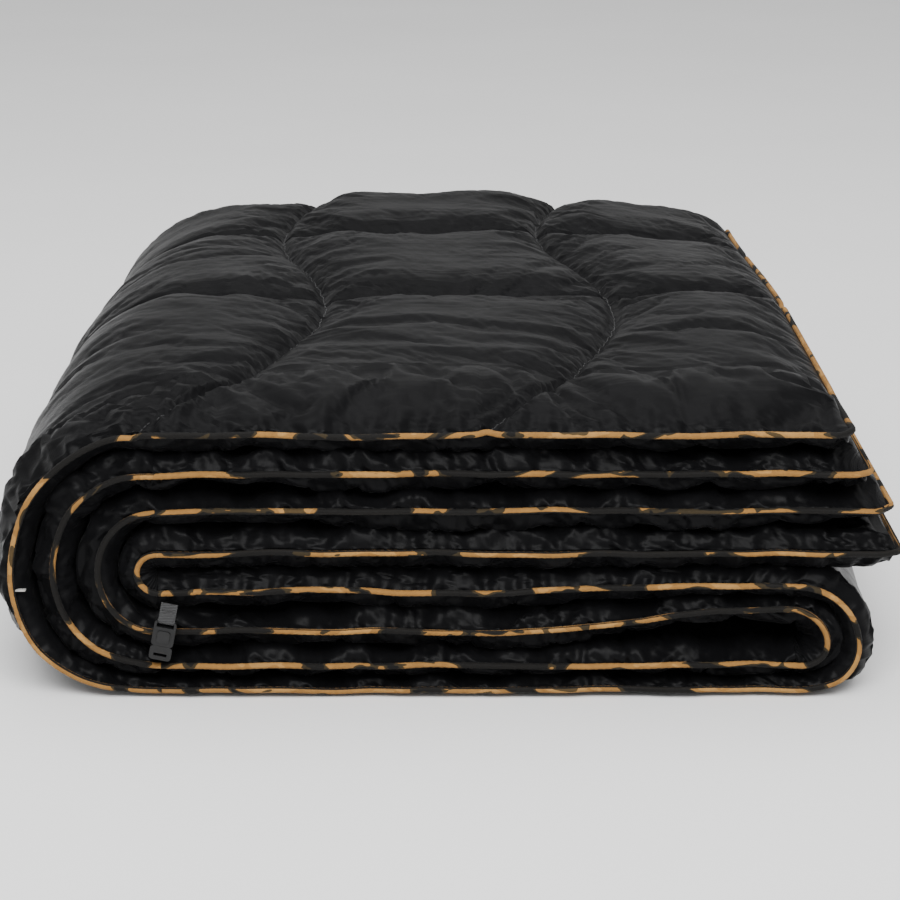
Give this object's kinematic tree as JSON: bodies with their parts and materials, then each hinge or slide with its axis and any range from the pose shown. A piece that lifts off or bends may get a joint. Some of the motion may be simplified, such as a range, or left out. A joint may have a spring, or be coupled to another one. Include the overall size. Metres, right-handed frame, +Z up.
{
  "type": "camp quilt",
  "caption": "Puffy quilted camp blanket folded into a thick stack, piped edges to the front, with a webbing tab and mini buckle.",
  "frame": {"origin": "on the ground under the middle of the folded stack", "axes": "+Y from the piped front edge to the soft folds at the back, +Z up, +X to the right as seen from the front"},
  "size_m": [0.548, 0.682, 0.1947],
  "materials": {
    "shell_nylon": "satin downproof nylon, near black charcoal, soft sheen",
    "lining_nylon": "matt nylon, near black",
    "batting": "lofted polyester fill",
    "piping_tape": "tan, brown and olive camouflage print, woven tape",
    "piping_cord": "twisted cotton filler cord",
    "thread": "polyester thread, near black",
    "webbing": "ribbed nylon webbing, black",
    "buckle_plastic": "moulded acetal, fine satin grain, black",
    "button_plastic": "moulded acetal, satin, black",
    "spring_steel": "plain spring wire",
    "tag_cloth": "pale woven tape, blank"
  },
  "bodies": {
    "lower_half": {"inner_fold_batting": "batting", "inner_fold_lining": "lining_nylon", "inner_fold_piping_cord": "piping_cord", "inner_fold_piping_tape": "piping_tape", "inner_fold_shell": "shell_nylon", "lower_batting": "batting", "lower_lining": "lining_nylon", "lower_piping_cord": "piping_cord", "lower_piping_tape": "piping_tape", "lower_quilting_thread": "thread", "lower_shell": "shell_nylon", "outer_fold_batting": "batting", "outer_fold_lining": "lining_nylon", "outer_fold_piping_cord": "piping_cord", "outer_fold_piping_tape": "piping_tape", "outer_fold_shell": "shell_nylon", "blank_tag": "tag_cloth"},
    "upper_half": {"upper_batting": "batting", "upper_lining": "lining_nylon", "upper_piping_cord": "piping_cord", "upper_piping_tape": "piping_tape", "upper_quilting_thread": "thread", "upper_shell": "shell_nylon"},
    "buckle": {"webbing_tab": "webbing", "tack_stitches": "thread", "buckle_socket": "buckle_plastic", "buckle_plug": "buckle_plastic", "button_spring": "spring_steel"},
    "button": {"push_button": "button_plastic"}
  },
  "joints": [
    {"name": "unfold_top", "type": "hinge", "parent": "lower_half", "child": "upper_half", "pos_m": [-0.1763, 0, 0.08], "axis": [0, -1, 0], "range_deg": [0, 90], "deforming": ["inner_fold_batting", "inner_fold_lining", "inner_fold_piping_cord", "inner_fold_piping_tape", "inner_fold_shell", "outer_fold_batting", "outer_fold_lining", "outer_fold_piping_cord", "outer_fold_piping_tape", "outer_fold_shell", "blank_tag"]},
    {"name": "tab_swing", "type": "hinge", "parent": "lower_half", "child": "buckle", "pos_m": [-0.169, -0.3379, 0.06335], "axis": [-0.9781, 0, 0.2079], "range_deg": [0, 110]},
    {"name": "button_press", "type": "slide", "parent": "buckle", "child": "button", "axis": [0, 1, 0], "range_m": [0, 0.001], "stiffness_N_per_m": 300, "deforming": ["button_spring"]}
  ]
}
